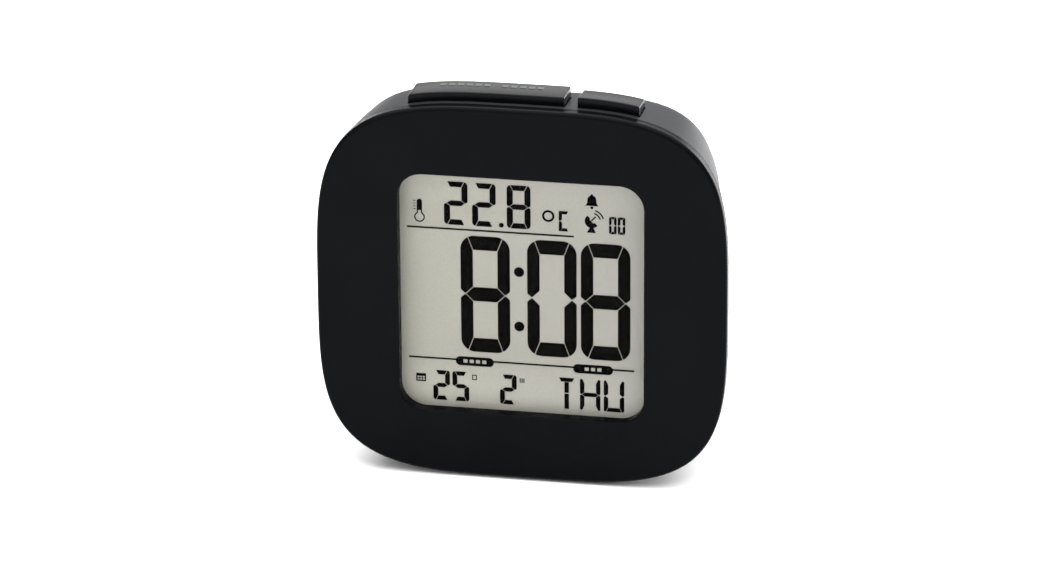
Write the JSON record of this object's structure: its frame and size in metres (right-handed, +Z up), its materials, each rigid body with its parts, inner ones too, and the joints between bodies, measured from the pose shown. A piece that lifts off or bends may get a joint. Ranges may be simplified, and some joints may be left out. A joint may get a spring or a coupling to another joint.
{
  "type": "travel alarm clock",
  "caption": "Small square-round travel alarm clock with a liquid crystal display, two top keys, rear keys and a battery door.",
  "frame": {"origin": "on the table, under the middle of the clock", "axes": "+X to the viewer's right, +Y towards the back, +Z up"},
  "size_m": [0.078, 0.0308, 0.0761],
  "materials": {
    "black_abs": "fine satin",
    "clear_acrylic": "polished",
    "dark_tape": "matt",
    "lcd_glass": "satin polariser",
    "lcd_ink": "matt",
    "white_film": "satin",
    "light_guide_acrylic": "polished",
    "led_body": "moulded",
    "white_plastic": "moulded",
    "grey_elastomer": "matt",
    "board_laminate": "solder mask",
    "black_epoxy": "cast",
    "steel": "nickel plated",
    "component_body": "moulded",
    "black_rubber": "matt",
    "cable_jacket": "extruded",
    "ferrite": "sintered",
    "copper": "enamelled",
    "brass_disc": "rolled",
    "cell_can": "printed sleeve"
  },
  "bodies": {
    "case": {"front_bezel": "black_abs", "window_lens": "clear_acrylic", "lens_tape": "dark_tape", "lcd_cell": "lcd_glass", "lcd_segments": "lcd_ink", "lcd_reflector": "white_film", "light_guide": "light_guide_acrylic", "backlight_leds": "led_body", "display_frame": "white_plastic", "zebra_upper": "grey_elastomer", "zebra_lower": "grey_elastomer", "main_board": "board_laminate", "clock_chip": "black_epoxy", "quartz_crystal": "steel", "board_capacitors": "component_body", "board_screws": "steel", "temperature_sensor": "component_body", "snooze_switch": "black_epoxy", "alarm_switch": "black_epoxy", "rear_housing": "black_abs", "left_foot": "black_rubber", "right_foot": "black_rubber", "case_screws": "steel", "key_board": "board_laminate", "key_board_screws": "steel", "ribbon_cable": "cable_jacket", "rear_switches": "black_epoxy", "reset_switch": "black_epoxy", "radio_board": "board_laminate", "antenna_rod": "ferrite", "antenna_coil": "copper", "antenna_saddles": "white_plastic", "antenna_lead": "copper", "piezo_disc": "brass_disc", "buzzer_ring": "white_plastic", "buzzer_lead": "cable_jacket", "upper_cell": "cell_can", "lower_cell": "cell_can", "upper_spring": "steel", "lower_spring": "steel", "link_contact": "steel", "positive_contact": "steel", "negative_contact": "steel", "red_lead": "cable_jacket", "black_lead": "cable_jacket"},
    "snooze_key_body": {"snooze_key": "black_abs", "snooze_plunger": "white_plastic"},
    "alarm_key_body": {"alarm_key": "black_abs", "alarm_plunger": "white_plastic"},
    "mode_key_body": {"mode_key": "black_abs", "mode_plunger": "white_plastic"},
    "set_key_body": {"set_key": "black_abs", "set_plunger": "white_plastic"},
    "up_key_body": {"up_key": "black_abs", "up_plunger": "white_plastic"},
    "down_key_body": {"down_key": "black_abs", "down_plunger": "white_plastic"},
    "reset_pin_body": {"reset_pin": "white_plastic", "reset_plunger": "white_plastic"},
    "battery_door_body": {"battery_door": "black_abs"}
  },
  "joints": [
    {"name": "snooze_key_press", "type": "slide", "parent": "case", "child": "snooze_key_body", "axis": [0, 0, -1], "range_m": [0, 0.0008], "stiffness_N_per_m": 600, "springref_m": -0.0004},
    {"name": "alarm_key_press", "type": "slide", "parent": "case", "child": "alarm_key_body", "axis": [0, 0, -1], "range_m": [0, 0.0008], "stiffness_N_per_m": 600, "springref_m": -0.0004},
    {"name": "mode_key_press", "type": "slide", "parent": "case", "child": "mode_key_body", "axis": [0, -1, 0], "range_m": [0, 0.0006], "stiffness_N_per_m": 600, "springref_m": -0.0004},
    {"name": "set_key_press", "type": "slide", "parent": "case", "child": "set_key_body", "axis": [0, -1, 0], "range_m": [0, 0.0006], "stiffness_N_per_m": 600, "springref_m": -0.0004},
    {"name": "up_key_press", "type": "slide", "parent": "case", "child": "up_key_body", "axis": [0, -1, 0], "range_m": [0, 0.0006], "stiffness_N_per_m": 600, "springref_m": -0.0004},
    {"name": "down_key_press", "type": "slide", "parent": "case", "child": "down_key_body", "axis": [0, -1, 0], "range_m": [0, 0.0006], "stiffness_N_per_m": 600, "springref_m": -0.0004},
    {"name": "reset_pin_press", "type": "slide", "parent": "case", "child": "reset_pin_body", "axis": [0, -1, 0], "range_m": [0, 0.0006], "stiffness_N_per_m": 300, "springref_m": -0.0004},
    {"name": "battery_door_pull", "type": "slide", "parent": "case", "child": "battery_door_body", "axis": [0, 1, 0], "range_m": [0, 0.03]}
  ]
}
